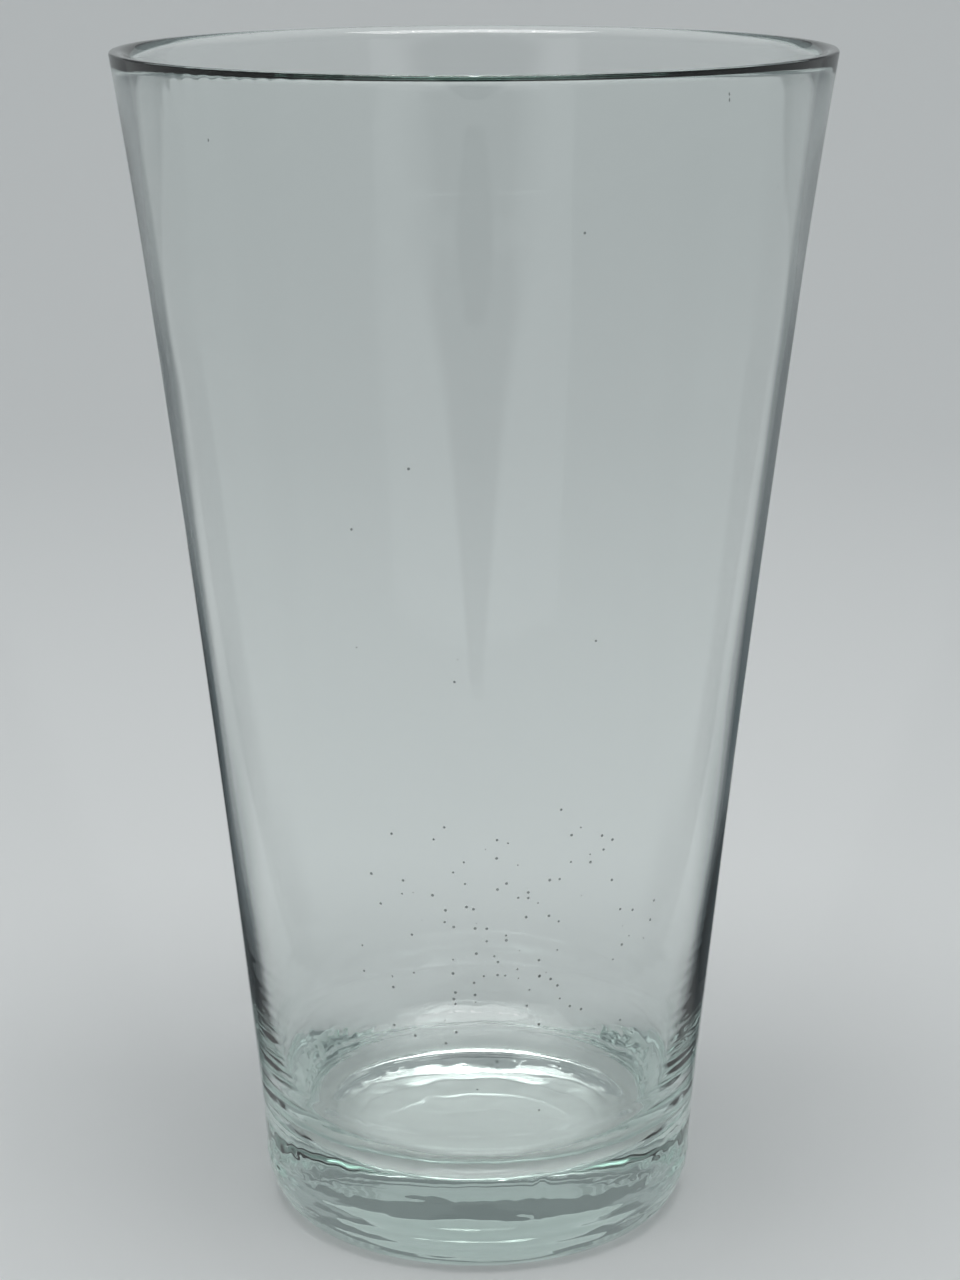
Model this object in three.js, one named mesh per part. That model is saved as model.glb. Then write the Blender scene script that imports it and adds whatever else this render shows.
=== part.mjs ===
// Pint mixing glass: one solid piece of pressed soda-lime glass, a tapering cup with a heavy base.
// Millimetres, +Z up. The origin is the centre of the foot ring's bearing plane, on the glass's axis.

import * as THREE from 'three';

// Overall
const HEIGHT = 149;
const TURN_STEPS = 80;

// Underside: a flat bearing ring round a shallow dome
const DOME_DEPTH = 1.6;
const RING_INNER_RADIUS = 22.6;
const RING_OUTER_RADIUS = 25.2;

// Outer heel: a rounded corner, then a short stand-up band that ends at the mould line
const HEEL_RADIUS = 28.15;
const HEEL_HEIGHT = 7;
const BAND_TOP_RADIUS = 28.5;
const BAND_TOP_HEIGHT = 12;

// Outer wall: nearly a cone, bowed very slightly inwards, flaring a little at the rim
const WALL_SLOPE = 0.0925;
const WALL_BOW = 0.000125;
const FLARE = 0.3;
const FLARE_START = 122;

// Lip: a nearly sharp outer edge and a wide rounding on the inside
const LIP_EDGE_RADIUS = 0.35;
const LIP_ROUNDING = 1.9;

// Cavity: a thin wall that thickens to the rim and to the base, then a wide fillet and a flat floor
const WALL_THICKNESS = 0.95;
const RIM_THICKENING = 1.4;
const RIM_REACH = 34;
const BASE_THICKENING = 1.3;
const BASE_REACH = 13;
const FILLET_TOP_HEIGHT = 19.5;
const FLOOR_HEIGHT = 10;
const FLOOR_RADIUS = 15;

// A smooth S-shaped ease from 0 to 1.
function ease(share) {
  const kept = Math.min(Math.max(share, 0), 1);
  return (1 - Math.cos(Math.PI * kept)) / 2;
}

function outerWallRadius(z) {
  const rise = z - BAND_TOP_HEIGHT;
  const flareShare = Math.max(z - FLARE_START, 0) / (HEIGHT - FLARE_START);
  return BAND_TOP_RADIUS + WALL_SLOPE * rise + WALL_BOW * rise ** 2 + FLARE * flareShare ** 2;
}

function innerWallRadius(z) {
  const rimStart = HEIGHT - LIP_ROUNDING - RIM_REACH;
  const atRim = RIM_THICKENING * ease((z - rimStart) / RIM_REACH);
  const atBase = BASE_THICKENING * Math.exp((FILLET_TOP_HEIGHT - z) / BASE_REACH);
  return outerWallRadius(z) - WALL_THICKNESS - atRim - atBase;
}

// Points of a quarter ellipse between a flat end and an upright end.
function quarterCurve(flatRadius, flatHeight, uprightRadius, uprightHeight, steps) {
  const points = [];
  for (let i = 0; i <= steps; i += 1) {
    const turn = (Math.PI / 2) * (i / steps);
    const r = flatRadius + (uprightRadius - flatRadius) * Math.sin(turn);
    const z = flatHeight + (uprightHeight - flatHeight) * (1 - Math.cos(turn));
    points.push([r, z]);
  }
  return points;
}

// The underside's dome, from its crown on the axis to the foot ring's inner edge.
function dome() {
  const points = [];
  const steps = 6;
  for (let i = 0; i <= steps; i += 1) {
    const share = i / steps;
    points.push([RING_INNER_RADIUS * share, DOME_DEPTH * (1 - share ** 2)]);
  }
  return points;
}

// Points along a wall, leaving out the one at its start.
function wallPoints(radiusAt, fromHeight, toHeight, steps) {
  const points = [];
  for (let i = 1; i <= steps; i += 1) {
    const z = fromHeight + ((toHeight - fromHeight) * i) / steps;
    points.push([radiusAt(z), z]);
  }
  return points;
}

// The lip's outer edge: a small quarter round at the top of the outer wall.
function lipEdge() {
  const edgeHeight = HEIGHT - LIP_EDGE_RADIUS;
  const edgeRadius = outerWallRadius(edgeHeight);
  const points = quarterCurve(edgeRadius - LIP_EDGE_RADIUS, HEIGHT, edgeRadius, edgeHeight, 3);
  return points.reverse();
}

// The lip's inner rounding: an arc from the top that ends in line with the leaning inner wall.
function lipRounding() {
  const points = [];
  const steps = 8;
  const lowerHeight = HEIGHT - LIP_ROUNDING;
  const lean = innerWallRadius(lowerHeight) - innerWallRadius(lowerHeight - 1);
  const fullTurn = Math.PI / 2 - Math.atan(lean);
  const endHeight = HEIGHT - LIP_ROUNDING * (1 - Math.cos(fullTurn));
  const arcCentreRadius = innerWallRadius(endHeight) + LIP_ROUNDING * Math.sin(fullTurn);
  for (let i = 0; i <= steps; i += 1) {
    const turn = fullTurn * (i / steps);
    const r = arcCentreRadius - LIP_ROUNDING * Math.sin(turn);
    points.push([r, HEIGHT - LIP_ROUNDING * (1 - Math.cos(turn))]);
  }
  return points;
}

function glassProfile() {
  const heel = quarterCurve(RING_OUTER_RADIUS, 0, HEEL_RADIUS, HEEL_HEIGHT, 7);
  const bandTop = [[BAND_TOP_RADIUS, BAND_TOP_HEIGHT]];
  const outerWallTop = HEIGHT - LIP_EDGE_RADIUS;
  const outerWall = wallPoints(outerWallRadius, BAND_TOP_HEIGHT, outerWallTop, 12);
  outerWall.pop();
  const rounding = lipRounding();
  const innerWallTop = rounding[rounding.length - 1][1];
  const innerWall = wallPoints(innerWallRadius, innerWallTop, FILLET_TOP_HEIGHT, 20);
  innerWall.pop();
  const filletTopRadius = innerWallRadius(FILLET_TOP_HEIGHT);
  const fillet = quarterCurve(FLOOR_RADIUS, FLOOR_HEIGHT, filletTopRadius, FILLET_TOP_HEIGHT, 8);
  fillet.reverse();
  const floorCentre = [[0, FLOOR_HEIGHT]];
  const outside = [...dome(), ...heel, ...bandTop, ...outerWall, ...lipEdge()];
  return [...outside, ...rounding, ...innerWall, ...fillet, ...floorCentre];
}

function turnedSolid(profile, steps) {
  const outline = profile.map(([r, z]) => new THREE.Vector2(r, z));
  const geometry = new THREE.LatheGeometry(outline, steps);
  geometry.rotateX(Math.PI / 2);
  return geometry;
}

const clearGlass = new THREE.MeshStandardMaterial({
  name: 'clear_glass',
  color: 0xdfeae6,
  roughness: 0.03,
  metalness: 0,
  transparent: true,
  opacity: 0.35,
});

const glassBody = new THREE.Mesh(turnedSolid(glassProfile(), TURN_STEPS), clearGlass);
glassBody.name = 'glass_body';

const mixingGlass = new THREE.Group();
mixingGlass.name = 'mixing_glass';
mixingGlass.add(glassBody);

export default mixingGlass;
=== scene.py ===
import math

import bpy
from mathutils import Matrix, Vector, noise


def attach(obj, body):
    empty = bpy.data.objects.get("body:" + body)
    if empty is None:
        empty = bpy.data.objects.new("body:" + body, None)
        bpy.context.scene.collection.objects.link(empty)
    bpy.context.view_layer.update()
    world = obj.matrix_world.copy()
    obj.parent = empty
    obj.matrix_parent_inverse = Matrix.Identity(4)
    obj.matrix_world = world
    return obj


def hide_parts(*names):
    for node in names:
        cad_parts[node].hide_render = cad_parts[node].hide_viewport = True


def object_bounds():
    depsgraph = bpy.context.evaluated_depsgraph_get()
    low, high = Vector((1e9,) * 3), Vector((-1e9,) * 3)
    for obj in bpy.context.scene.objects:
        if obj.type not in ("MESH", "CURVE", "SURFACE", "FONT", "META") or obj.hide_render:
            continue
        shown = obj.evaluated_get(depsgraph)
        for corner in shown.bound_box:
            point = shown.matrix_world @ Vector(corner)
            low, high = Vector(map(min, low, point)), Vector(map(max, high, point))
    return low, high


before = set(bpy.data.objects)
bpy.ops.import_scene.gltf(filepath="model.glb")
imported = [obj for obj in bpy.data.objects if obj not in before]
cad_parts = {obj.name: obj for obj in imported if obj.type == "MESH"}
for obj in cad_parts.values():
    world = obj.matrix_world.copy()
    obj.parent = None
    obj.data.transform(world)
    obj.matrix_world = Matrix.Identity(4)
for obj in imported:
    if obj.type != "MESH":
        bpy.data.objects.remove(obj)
cad_low, cad_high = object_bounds()

MM = 0.001

# ---------------------------------------------------------------- the glass's own sizes, in millimetres
HEIGHT = (cad_high.z - cad_low.z) / MM
RECESS_DEPTH = 1.6
RING_INNER_RADIUS = 24.4
RING_OUTER_RADIUS = 25.2
HEEL_RADIUS = 28.15
HEEL_HEIGHT = 7.0
BAND_TOP_RADIUS = 28.5
BAND_TOP_HEIGHT = 12.0
WALL_SLOPE = 0.0925
WALL_BOW = 0.000125
LIP_FLARE = 0.3
FLARE_START = 122.0
LIP_EDGE_RADIUS = 0.35
LIP_ROUNDING = 1.9
WALL_THICKNESS = 0.95
BASE_THICKENING = 1.3
BASE_REACH = 13.0
RIM_THICKENING = 1.4
RIM_REACH = 34.0
FILLET_TOP_HEIGHT = 19.5
FLOOR_HEIGHT = 10.0
FLOOR_RADIUS = 15.0
SEGMENTS = 368
CHILL_TOP_HEIGHT = 50.0

# ------------------------------------------------ small unevenness of the surface, in millimetres
NOISE_GAIN = 1.6
LONG_WAVE_DEPTH = 0.03
STREAK_DEPTH = 0.007
CHILL_DEPTH = 0.0045
CHILL_SPACING = 1.7
ROPE_ANGLE = math.radians(240)
ROPE_TWIST_DEPTH = 0.04
ROPE_DRIFT_DEPTH = 0.05
PIT_DEPTH = 0.05
SEAM_ANGLE = math.radians(286)
SEAM_DEPTH = 0.1

# ------------------------------------------------ the glass's surface and tint; lengths in metres
GLASS_IOR = 1.52
SURFACE_COLOUR = (0.93, 0.95, 0.945, 1)
TINT_COLOUR = (0.25, 0.7, 0.55, 1)
TINT_DENSITY = 5.5
SMUDGE_SCALE = 28.0
SMUDGE_DETAIL = 6.0
SMUDGE_RANGE = (0.58, 0.75)
SMUDGE_ROUGHNESS = 0.08
SPECK_COLOUR = (0.12, 0.13, 0.13, 1)
SPECK_CENTRE = (0.004, -0.032, 0.046)
SPECK_DENSITY = 800.0
SPECK_SIZE = 0.15
SPECK_REACH = (0.006, 0.022)
SPECK_RARITY = (0.6, 0.9985)

# ---------------------------------------------------------------- camera
CAMERA_DISTANCE = 0.345
CAMERA_HEIGHT = 0.1721
CAMERA_PITCH = math.radians(15.75)
CAMERA_ROLL = math.radians(-0.18)
CAMERA_YAW = math.radians(-0.082)
LENS = 79.0


def outer_wall(z):
    """Outside radius of the wall at a height."""
    rise = z - BAND_TOP_HEIGHT
    flare = LIP_FLARE * (max(z - FLARE_START, 0) / (HEIGHT - FLARE_START)) ** 2
    return BAND_TOP_RADIUS + WALL_SLOPE * rise + WALL_BOW * rise * rise + flare


def ease(share):
    """A smooth rise from 0 to 1."""
    return (1 - math.cos(math.pi * share)) / 2


def inner_wall(z):
    """Inside radius of the wall at a height: thicker towards the base and the rim."""
    at_base = BASE_THICKENING * math.exp((FILLET_TOP_HEIGHT - z) / BASE_REACH)
    at_rim = RIM_THICKENING * ease(min(max((z + LIP_ROUNDING + RIM_REACH - HEIGHT) / RIM_REACH, 0), 1))
    return outer_wall(z) - WALL_THICKNESS - at_base - at_rim


def quarter(flat_r, flat_z, upright_r, upright_z, steps):
    """Points of a quarter ellipse from a flat end to an upright end."""
    points = []
    for i in range(steps + 1):
        turn = math.pi / 2 * i / steps
        r = flat_r + (upright_r - flat_r) * math.sin(turn)
        z = flat_z + (upright_z - flat_z) * (1 - math.cos(turn))
        points.append((r, z))
    return points


def span(wall, z0, z1, steps):
    """Points along a wall from one height to another."""
    return [(wall(z0 + (z1 - z0) * i / steps), z0 + (z1 - z0) * i / steps) for i in range(steps + 1)]


def profile():
    """The half section as rows of (radius, height, zone).

    It runs from the middle of the underside, up the outside and over the lip, to the middle of the floor.
    """
    edge_z = HEIGHT - LIP_EDGE_RADIUS
    lean = (inner_wall(HEIGHT - LIP_ROUNDING) - inner_wall(HEIGHT - LIP_ROUNDING - 0.1)) / 0.1
    join_turn = math.pi / 2 - math.atan(lean)
    join_z = HEIGHT - LIP_ROUNDING * (1 - math.cos(join_turn))
    lip_r = inner_wall(join_z) + LIP_ROUNDING * math.sin(join_turn)
    under = []
    for i in range(1, 16):
        r = RING_INNER_RADIUS * i / 16
        under.append((r, RECESS_DEPTH * (1 - (r / RING_INNER_RADIUS) ** 2)))
    ring = [(RING_INNER_RADIUS + (RING_OUTER_RADIUS - RING_INNER_RADIUS) * i / 3, 0.0) for i in range(3)]
    heel = quarter(RING_OUTER_RADIUS, 0.0, HEEL_RADIUS, HEEL_HEIGHT, 18)
    band = []
    for i in range(1, 11):
        share = i / 11
        r = HEEL_RADIUS + (BAND_TOP_RADIUS - HEEL_RADIUS) * share
        band.append((r, HEEL_HEIGHT + (BAND_TOP_HEIGHT - HEEL_HEIGHT) * share))
    outside = span(outer_wall, BAND_TOP_HEIGHT, edge_z, 48)[:-1]
    edge = quarter(outer_wall(edge_z) - LIP_EDGE_RADIUS, HEIGHT, outer_wall(edge_z), edge_z, 8)
    edge.reverse()
    lip = edge
    for i in range(21):
        turn = join_turn * i / 20
        lip.append((lip_r - LIP_ROUNDING * math.sin(turn), HEIGHT - LIP_ROUNDING * (1 - math.cos(turn))))
    inside = span(inner_wall, join_z, CHILL_TOP_HEIGHT, 42)[1:]
    inside += span(inner_wall, CHILL_TOP_HEIGHT, FILLET_TOP_HEIGHT, 64)[1:-1]
    fillet = quarter(FLOOR_RADIUS, FLOOR_HEIGHT, inner_wall(FILLET_TOP_HEIGHT), FILLET_TOP_HEIGHT, 30)
    fillet.reverse()
    floor = [(FLOOR_RADIUS * (1 - i / 9), FLOOR_HEIGHT) for i in range(1, 9)]
    rows = []
    for zone, points in (("under", under), ("ring", ring), ("heel", heel), ("band", band),
                         ("outside", outside), ("lip", lip), ("inside", inside),
                         ("fillet", fillet), ("floor", floor)):
        rows += [(r, z, zone) for r, z in points]
    return rows


def smooth_step(low, high, value):
    """0 below the low value, 1 above the high one, and a smooth rise between them."""
    share = min(max((value - low) / (high - low), 0), 1)
    return share * share * (3 - 2 * share)


def hill(value, centre, half_width):
    """A smooth hill of height 1 that falls to 0 at the half width from its centre."""
    share = min(abs(value - centre) / half_width, 1)
    return (1 + math.cos(math.pi * share)) / 2


def rough(a, r, z, grain, seed):
    """Seeded smooth noise, about -1 to 1, over a round surface, with the grain size in millimetres."""
    place = Vector((r * math.cos(a), r * math.sin(a), z)) / grain
    return NOISE_GAIN * noise.noise(place + Vector((seed, seed, seed)))


def long_waves(a, z, seed):
    """The slow unevenness that moulding and fire polishing leave in a pressed wall."""
    broad = rough(a, 30, z * 0.55, 15, seed)
    streaks = rough(a, 30, z * 0.12, 6, seed + 7.3)
    return LONG_WAVE_DEPTH * broad + STREAK_DEPTH * streaks


def chill_marks(a, z):
    """Fine level ripples low on the inner wall, strongest towards the two sides of the glass."""
    low = hill(z, 22, 30)
    sides = 0.1 + 0.9 * smooth_step(0.6, 0.95, abs(math.cos(a)))
    wander = 2.4 * rough(a, 26, z * 0.3, 9, 3.1)
    ripple = math.sin(2 * math.pi * z / CHILL_SPACING + wander) + 1.6 * rough(a, 8, z * 1.6, 1.6, 21.0)
    return CHILL_DEPTH * low * sides * ripple


def rope_marks(a):
    """Small ripples round part of the lip, where the edge was melted smooth; the rest is nearly even."""
    part = hill(a, ROPE_ANGLE, math.radians(36))
    twist = math.sin(a * 112 + 1.5 * math.sin(a * 17))
    return ROPE_TWIST_DEPTH * part * twist + ROPE_DRIFT_DEPTH * rough(a, 40, 0, 9, 5.0)


def heel_marks(a, z):
    """Shallow pressed unevenness on the heel, two low ridges round it, and the short mould seam."""
    around = 0.25 + 0.75 * smooth_step(0.35, 0.8, abs(math.cos(a)))
    pits = PIT_DEPTH * around * hill(z, 7.5, 8) * rough(a, 28, z * 1.3, 1.5, 11.0)
    ridges = 0.1 * hill(z, 5.9, 0.75) + 0.1 * hill(z, 4.2, 0.7) + 0.05 * hill(z, 2.4, 0.5)
    seam = SEAM_DEPTH * hill(a, SEAM_ANGLE, math.radians(1.3)) * hill(z, 9.5, 5)
    return pits + ridges + seam


def displaced(a, r, z, zone):
    """A profile point moved by the small unevenness of its part of the surface."""
    if zone in ("heel", "band"):
        return r + heel_marks(a, z) * smooth_step(0.0, 1.5, z), z
    if zone == "outside":
        fade = smooth_step(BAND_TOP_HEIGHT, BAND_TOP_HEIGHT + 6, z) * smooth_step(0, 8, HEIGHT - z)
        return r + fade * long_waves(a, z, 40.0), z
    if zone == "lip":
        inward = smooth_step(0.3, 1.6, outer_wall(z) - r)
        return r - inward * rope_marks(a), z - 0.3 * inward * abs(rope_marks(a))
    if zone == "inside":
        fade = smooth_step(0, 10, HEIGHT - LIP_ROUNDING - z)
        at_lip = rope_marks(a) * hill(z, HEIGHT - LIP_ROUNDING, 3)
        return r + fade * long_waves(a, z, 80.0) + chill_marks(a, z) - at_lip, z
    if zone == "fillet":
        uneven = 0.06 * rough(a, r, z, 4, 60.0) + 0.03 * rough(a, r, z, 1.7, 61.0)
        uneven += 0.1 * hill(r, FLOOR_RADIUS + 0.9, 0.9) + 0.12 * hill(r, 20.4, 1.2)
        chill = chill_marks(a, z) * smooth_step(14, 19, z)
        return r + chill, z + uneven * smooth_step(0.0, 2.0, z - FLOOR_HEIGHT)
    if zone == "floor":
        return r, z + 0.04 * rough(a, r, 0, 5, 90.0) * smooth_step(0.0, 3.0, r)
    if zone == "under":
        return r, z + 0.04 * rough(a, r, 0, 4, 95.0) * smooth_step(0.0, 4.0, RING_INNER_RADIUS - r)
    return r, z


def turned_mesh(name):
    """The profile turned round the axis, uneven surface and all, with both middles closed."""
    rows = profile()
    verts = []
    for row_r, row_z, zone in rows:
        for k in range(SEGMENTS):
            a = 2 * math.pi * k / SEGMENTS
            r, z = displaced(a, row_r, row_z, zone)
            verts.append((r * math.cos(a) * MM, r * math.sin(a) * MM, z * MM))
    faces = []
    for i in range(len(rows) - 1):
        for k in range(SEGMENTS):
            n = (k + 1) % SEGMENTS
            faces.append((i * SEGMENTS + k, i * SEGMENTS + n, (i + 1) * SEGMENTS + n, (i + 1) * SEGMENTS + k))
    bottom = len(verts)
    verts.append((0, 0, RECESS_DEPTH * MM))
    verts.append((0, 0, FLOOR_HEIGHT * MM))
    last = (len(rows) - 1) * SEGMENTS
    for k in range(SEGMENTS):
        n = (k + 1) % SEGMENTS
        faces.append((bottom, n, k))
        faces.append((bottom + 1, last + k, last + n))
    mesh = bpy.data.meshes.new(name)
    mesh.from_pydata(verts, [], faces)
    mesh.shade_smooth()
    mesh.update()
    return mesh


# ---------------------------------------------------------------- glass
def compare(nodes, links, operation, value, limit):
    """A node output that is 1 where the value passes the limit, and 0 elsewhere.

    The limit is a number or another node's output.
    """
    node = nodes.new("ShaderNodeMath")
    node.operation = operation
    links.new(value, node.inputs[0])
    if isinstance(limit, float):
        node.inputs[1].default_value = limit
    else:
        links.new(limit, node.inputs[1])
    return node.outputs["Value"]


def map_range(nodes, links, value, start, end, to_start, to_end):
    """A node output that maps the value linearly from start..end to to_start..to_end, and holds its ends."""
    node = nodes.new("ShaderNodeMapRange")
    node.inputs["From Min"].default_value = start
    node.inputs["From Max"].default_value = end
    node.inputs["To Min"].default_value = to_start
    node.inputs["To Max"].default_value = to_end
    links.new(value, node.inputs["Value"])
    return node.outputs["Result"]


def speck_mask(nodes, links, place):
    """Fine round specks, many near the speck centre and rare elsewhere."""
    seeds = nodes.new("ShaderNodeTexVoronoi")
    seeds.inputs["Scale"].default_value = SPECK_DENSITY
    links.new(place, seeds.inputs["Vector"])
    small = compare(nodes, links, "LESS_THAN", seeds.outputs["Distance"], SPECK_SIZE)
    picked = nodes.new("ShaderNodeSeparateColor")
    links.new(seeds.outputs["Color"], picked.inputs["Color"])
    away = nodes.new("ShaderNodeVectorMath")
    away.operation = "DISTANCE"
    links.new(place, away.inputs[0])
    away.inputs[1].default_value = SPECK_CENTRE
    rarity = map_range(nodes, links, away.outputs["Value"], *SPECK_REACH, *SPECK_RARITY)
    few = compare(nodes, links, "GREATER_THAN", picked.outputs["Red"], rarity)
    speck = nodes.new("ShaderNodeMath")
    speck.operation = "MULTIPLY"
    links.new(small, speck.inputs[0])
    links.new(few, speck.inputs[1])
    return speck.outputs["Value"]


def smudge_roughness(nodes, links, place):
    """Clear glass, with a faint film where the noise is high."""
    film = nodes.new("ShaderNodeTexNoise")
    film.inputs["Scale"].default_value = SMUDGE_SCALE
    film.inputs["Detail"].default_value = SMUDGE_DETAIL
    links.new(place, film.inputs["Vector"])
    return map_range(nodes, links, film.outputs["Fac"], *SMUDGE_RANGE, 0.0, SMUDGE_ROUGHNESS)


def glass_material():
    """Clear glass with a green absorption, dark specks and a faint film."""
    m = bpy.data.materials.new("clear_soda_glass")
    m.use_nodes = True
    nodes, links = m.node_tree.nodes, m.node_tree.links
    shader = nodes["Principled BSDF"]
    shader.inputs["IOR"].default_value = GLASS_IOR
    shader.inputs["Transmission Weight"].default_value = 1.0
    place = nodes.new("ShaderNodeTexCoord").outputs["Object"]
    colour = nodes.new("ShaderNodeMix")
    colour.data_type = "RGBA"
    colour.inputs["A"].default_value = SURFACE_COLOUR
    colour.inputs["B"].default_value = SPECK_COLOUR
    links.new(speck_mask(nodes, links, place), colour.inputs["Factor"])
    links.new(colour.outputs["Result"], shader.inputs["Base Color"])
    links.new(smudge_roughness(nodes, links, place), shader.inputs["Roughness"])
    tint = nodes.new("ShaderNodeVolumeAbsorption")
    tint.inputs["Color"].default_value = TINT_COLOUR
    tint.inputs["Density"].default_value = TINT_DENSITY
    links.new(tint.outputs["Volume"], nodes["Material Output"].inputs["Volume"])
    return m


glass = bpy.data.objects.new("pressed_glass", turned_mesh("pressed_glass"))
bpy.context.scene.collection.objects.link(glass)
glass.data.materials.append(glass_material())
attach(glass, "root")
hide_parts("glass_body")


# ---------------------------------------------------------------- stage, in metres
FLOOR_DROP = -0.00005
FLAT_REACH = 0.5
BEND_RADIUS = 0.45
WALL_TOP = 0.42
SWEEP_SEGMENTS = 128
PAPER_COLOUR = (0.78, 0.8, 0.8)
PAINTED_LIGHT_COLOUR = (0.97, 1.0, 0.99, 1)
# colour of the cards that only the glass sees; beside the glass these cards carry painted shade
CARD_COLOUR = (0.02, 0.045, 0.055, 1)
SIDE_SHADE_COVER = 0.91
FRONT_CARD_COVER = 0.95
BACK_CARD_COVER = 0.42
PALE_CARD_STRENGTH = 0.3
SPOT_COUNT = 9
SPOT_ROW_WIDTH = 0.36
SPOT_HALF_SIZE = 0.012
SPOT_Y = -0.1
SPOT_HEIGHT = 0.8
SPOT_STRENGTH = 60.0
LAMP_ENERGY = 3.5
ROOM_COLOUR = (0.93, 0.97, 1.0, 1)
ROOM_STRENGTH = 0.36


def plain_material(name, colour, roughness=0.8):
    """An even, matt material."""
    m = bpy.data.materials.new(name)
    m.use_nodes = True
    shader = m.node_tree.nodes["Principled BSDF"]
    shader.inputs["Base Color"].default_value = (*colour, 1)
    shader.inputs["Roughness"].default_value = roughness
    return m


def sweep_rows(start, flat_steps=16):
    """Distance and height of a floor that bends up into a wall, from the start distance outwards."""
    rows = [(start + (FLAT_REACH - start) * i / flat_steps, 0.0) for i in range(flat_steps + 1)]
    for i in range(1, 21):
        turn = math.radians(68) * i / 20
        rows.append((FLAT_REACH + BEND_RADIUS * math.sin(turn), BEND_RADIUS * (1 - math.cos(turn))))
    end_r, end_z = rows[-1]
    rows.append((end_r + (WALL_TOP - end_z) * 0.4, WALL_TOP))
    return rows


def staged_mesh(name, verts, faces, material):
    """A smooth mesh that belongs to the stage and not to the part."""
    mesh = bpy.data.meshes.new(name)
    mesh.from_pydata(verts, [], faces)
    mesh.shade_smooth()
    mesh.materials.append(material)
    ob = bpy.data.objects.new(name, mesh)
    bpy.context.scene.collection.objects.link(ob)
    return ob


def painted_light_through_glass(x, y):
    """Painted light on the paper where the glass would gather light onto it: below the glass, in a soft ring
    round its foot and behind it.
    """
    r = math.hypot(x, y)
    outside_foot = smooth_step(0.0262, 0.028, r)
    below = (0.28 - 0.16 * smooth_step(0.018, 0.023, r)) * (1 - outside_foot)
    below *= 1 - 0.8 * smooth_step(0.017, 0.024, abs(x))
    halo = 0.02 * outside_foot * (1 - smooth_step(0.0292, 0.039, r))
    behind = 0.14 * smooth_step(0.75, 0.95, y / max(r, 0.001)) * hill(r, 0.032, 0.03) * outside_foot
    return below + halo + behind


def sweep():
    """The pale paper: flat under the glass, then bending up behind and all round it, with painted light round
    the glass's foot.
    """
    rows = [(0.007 * i, 0.0) for i in range(1, 4)] + [(0.0275 + 0.0006 * i, 0.0) for i in range(22)]
    rows += sweep_rows(0.042)
    verts = [(0, 0, FLOOR_DROP)]
    for r, z in rows:
        for k in range(SWEEP_SEGMENTS):
            a = 2 * math.pi * k / SWEEP_SEGMENTS
            verts.append((r * math.cos(a), r * math.sin(a), z + FLOOR_DROP))
    faces = []
    for k in range(SWEEP_SEGMENTS):
        faces.append((0, 1 + k, 1 + (k + 1) % SWEEP_SEGMENTS))
    for i in range(len(rows) - 1):
        for k in range(SWEEP_SEGMENTS):
            n = (k + 1) % SWEEP_SEGMENTS
            a = 1 + i * SWEEP_SEGMENTS
            faces.append((a + k, a + SWEEP_SEGMENTS + k, a + SWEEP_SEGMENTS + n, a + n))
    paper = plain_material("pale_paper", PAPER_COLOUR)
    nodes, links = paper.node_tree.nodes, paper.node_tree.links
    # the paper glows with painted light below, round and behind the glass's foot
    painted_light = nodes.new("ShaderNodeAttribute")
    painted_light.attribute_name = "painted_light"
    links.new(painted_light.outputs["Fac"], nodes["Principled BSDF"].inputs["Emission Strength"])
    nodes["Principled BSDF"].inputs["Emission Color"].default_value = PAINTED_LIGHT_COLOUR
    ob = staged_mesh("sweep", verts, faces, paper)
    layer = ob.data.attributes.new("painted_light", "FLOAT", "POINT")
    for i, corner in enumerate(verts):
        layer.data[i].value = painted_light_through_glass(corner[0], corner[1])


sweep()


def faded_material():
    """Dark card whose cover, from 0 for clear to 1 for solid, is stored at each corner."""
    m = bpy.data.materials.new("dark_card")
    m.use_nodes = True
    nodes, links = m.node_tree.nodes, m.node_tree.links
    shader = nodes["Principled BSDF"]
    shader.inputs["Base Color"].default_value = CARD_COLOUR
    shader.inputs["Roughness"].default_value = 0.9
    cover = nodes.new("ShaderNodeAttribute")
    cover.attribute_name = "cover"
    links.new(cover.outputs["Fac"], shader.inputs["Alpha"])
    return m


CARD_MATERIAL = faded_material()


def faded_card(name, rows):
    """A card that only the glass sees. rows holds lists of (x, y, z, cover)."""
    verts, cover, faces = [], [], []
    for row in rows:
        for x, y, z, share in row:
            verts.append((x, y, z))
            cover.append(share)
    width = len(rows[0])
    for i in range(len(rows) - 1):
        for k in range(width - 1):
            a = i * width + k
            faces.append((a, a + 1, a + width + 1, a + width))
    ob = staged_mesh(name, verts, faces, CARD_MATERIAL)
    layer = ob.data.attributes.new("cover", "FLOAT", "POINT")
    for i, share in enumerate(cover):
        layer.data[i].value = share
    ob.visible_camera = False
    ob.visible_diffuse = False
    ob.visible_shadow = False


def painted_shade_card(name, side):
    """A dark sheet just over the paper beside the glass, seen only in the glass: painted shade there. Its
    inner edge opens outwards from the glass.
    """
    rows = []
    for r, z in sweep_rows(0.034, 70):
        row = []
        for k in range(70):
            turn = math.radians(8 + 70 * k / 69)
            x, y = r * math.sin(turn), r * math.cos(turn)
            beyond = x - 0.032 - 0.27 * y
            inner = smooth_step(0.0, 0.002 + 0.01 * y, beyond)
            far = smooth_step(0.08, 0.26, r)
            near_edge = 1 - smooth_step(math.radians(56), math.radians(76), turn)
            far_edge = smooth_step(-0.035, 0.04, y - x)
            outer = near_edge + (far_edge - near_edge) * far
            along = smooth_step(0.034, 0.045, r) * (1 - 0.25 * smooth_step(0.15, 0.5, r))
            along *= (1 - 0.65 * smooth_step(0.0, 0.1, z)) * (0.87 + 0.13 * smooth_step(0.06, 0.12, r))
            row.append((x * side, y, z + 0.0005, SIDE_SHADE_COVER * inner * outer * along))
        rows.append(row)
    faded_card(name, rows)


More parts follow.
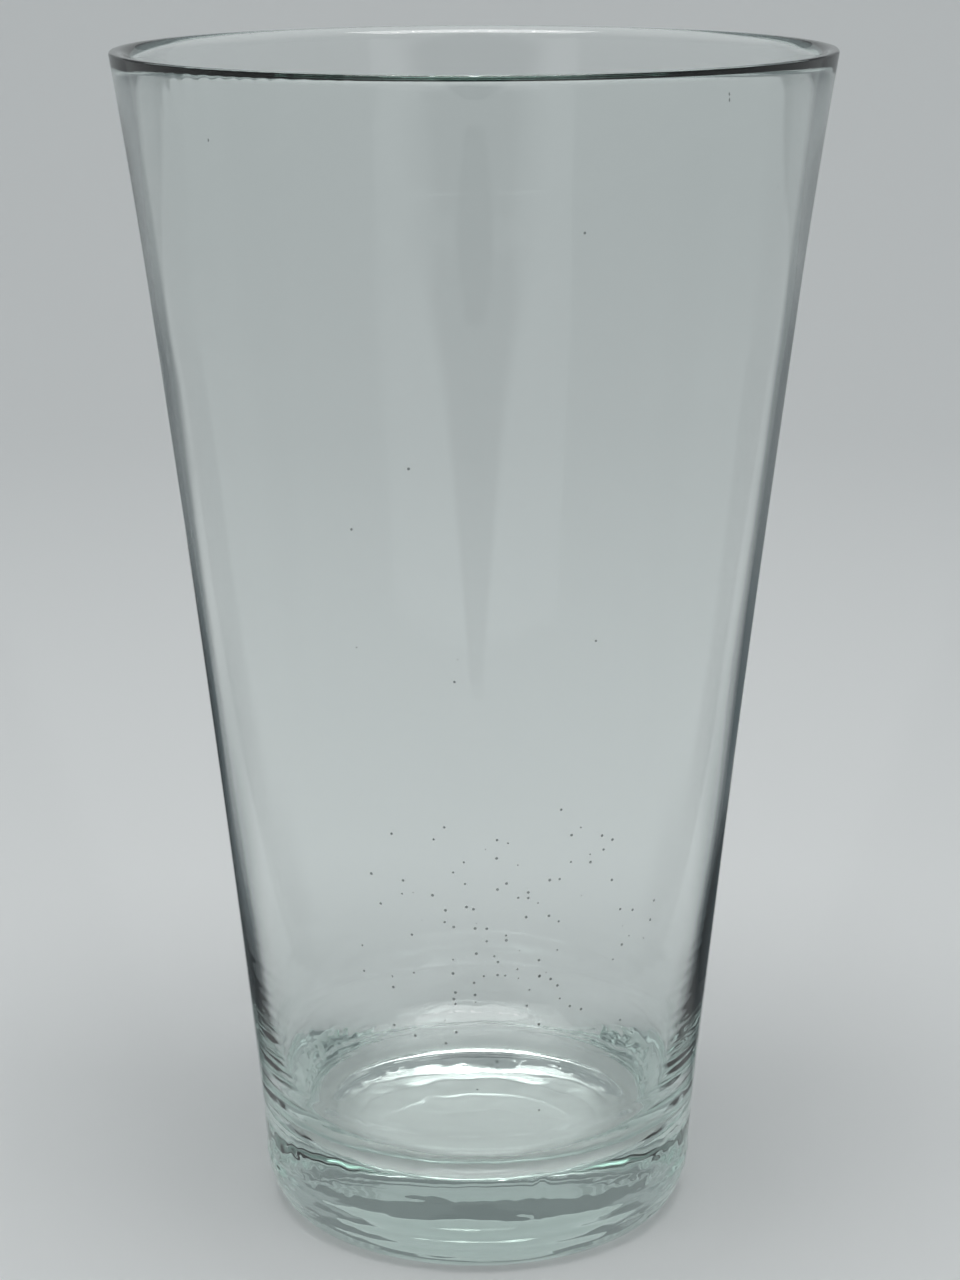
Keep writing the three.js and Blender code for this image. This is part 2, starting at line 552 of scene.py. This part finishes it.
def front_card():
    """The darker shape of somebody behind the camera: narrow below and wide above."""
    rows = []
    for i in range(21):
        z = 0.02 + 0.46 * i / 20
        half = 0.02 + 0.75 * (z - 0.02)
        row = []
        for k in range(25):
            share = k / 12 - 1
            cover = FRONT_CARD_COVER * (1 - smooth_step(0.6, 1.0, abs(share)))
            row.append((1.25 * half * share, -0.42, z, cover))
        rows.append(row)
    faded_card("card_front", rows)


def back_card():
    """The dimmer room high behind, which the heel mirrors."""
    rows = []
    for i in range(31):
        z = 0.19 + 0.9 * i / 30
        cover = BACK_CARD_COVER * smooth_step(0.19, 0.22, z)
        y = 0.9 + 0.5 * (z - 0.19)
        rows.append([(1.2 * (k / 8 - 1), y, z, cover) for k in range(17)])
    faded_card("card_back", rows)


# painted shade beside the glass, seen only in the glass
painted_shade_card("painted_shade_left", -1)
painted_shade_card("painted_shade_right", 1)
front_card()
back_card()


def bright_card():
    """A pale panel behind the dark shape, seen only in the glass's reflections."""
    m = plain_material("bright_card", (0.8, 0.8, 0.8))
    shader = m.node_tree.nodes["Principled BSDF"]
    shader.inputs["Emission Color"].default_value = (0.93, 0.97, 1.0, 1)
    shader.inputs["Emission Strength"].default_value = PALE_CARD_STRENGTH
    corners = [(-0.4, -0.5, 0.03), (0.4, -0.5, 0.03), (0.4, -0.5, 0.45), (-0.4, -0.5, 0.45)]
    ob = staged_mesh("card_pale", corners, [(0, 1, 2, 3)], m)
    ob.visible_camera = False
    ob.visible_diffuse = False
    ob.visible_shadow = False


bright_card()


def spot_row():
    """A row of small bright lamps high in front, seen only as glints in the glass."""
    m = plain_material("lamp_spots", (0.8, 0.8, 0.8))
    shader = m.node_tree.nodes["Principled BSDF"]
    shader.inputs["Emission Color"].default_value = (1.0, 1.0, 1.0, 1)
    shader.inputs["Emission Strength"].default_value = SPOT_STRENGTH
    verts, faces = [], []
    near, far = SPOT_Y - SPOT_HALF_SIZE, SPOT_Y + SPOT_HALF_SIZE
    for i in range(SPOT_COUNT):
        x = SPOT_ROW_WIDTH * (i / (SPOT_COUNT - 1) - 0.5)
        left, right = x - SPOT_HALF_SIZE, x + SPOT_HALF_SIZE
        start = len(verts)
        verts += [(left, near, SPOT_HEIGHT), (right, near, SPOT_HEIGHT)]
        verts += [(right, far, SPOT_HEIGHT), (left, far, SPOT_HEIGHT)]
        faces.append((start, start + 1, start + 2, start + 3))
    ob = staged_mesh("lamp_spots", verts, faces, m)
    ob.visible_camera = False
    ob.visible_diffuse = False
    ob.visible_shadow = False


spot_row()


def soft_lamp(name, place, target, size, energy):
    """A soft rectangular lamp aimed at a point."""
    lamp = bpy.data.lights.new(name, "AREA")
    lamp.shape = "RECTANGLE"
    lamp.size, lamp.size_y = size
    lamp.energy = energy
    lamp.color = (1.0, 1.0, 0.99)
    ob = bpy.data.objects.new(name, lamp)
    ob.location = place
    aim = Vector(target) - Vector(place)
    ob.rotation_euler = aim.to_track_quat("-Z", "Y").to_euler()
    bpy.context.scene.collection.objects.link(ob)


soft_lamp("overhead", (0, -0.1, 0.85), (0, 0.02, 0), (0.6, 0.4), LAMP_ENERGY)

world = bpy.data.worlds.new("room")
bpy.context.scene.world = world
world.use_nodes = True
world.node_tree.nodes["Background"].inputs["Color"].default_value = ROOM_COLOUR
world.node_tree.nodes["Background"].inputs["Strength"].default_value = ROOM_STRENGTH

# ---------------------------------------------------------------- camera
cam_data = bpy.data.cameras.new("camera")
cam_data.lens = LENS
cam_data.sensor_width = 36
cam = bpy.data.objects.new("camera", cam_data)
bpy.context.scene.collection.objects.link(cam)
cam.location = (0, -CAMERA_DISTANCE, CAMERA_HEIGHT)
cam.rotation_euler = (math.pi / 2 - CAMERA_PITCH, 0, CAMERA_YAW)
cam.rotation_euler.rotate_axis("Z", CAMERA_ROLL)
bpy.context.scene.camera = cam

scene = bpy.context.scene
scene.view_settings.view_transform = "Standard"
scene.cycles.max_bounces = 24
scene.cycles.transmission_bounces = 24
scene.cycles.glossy_bounces = 12
scene.cycles.use_denoising = True
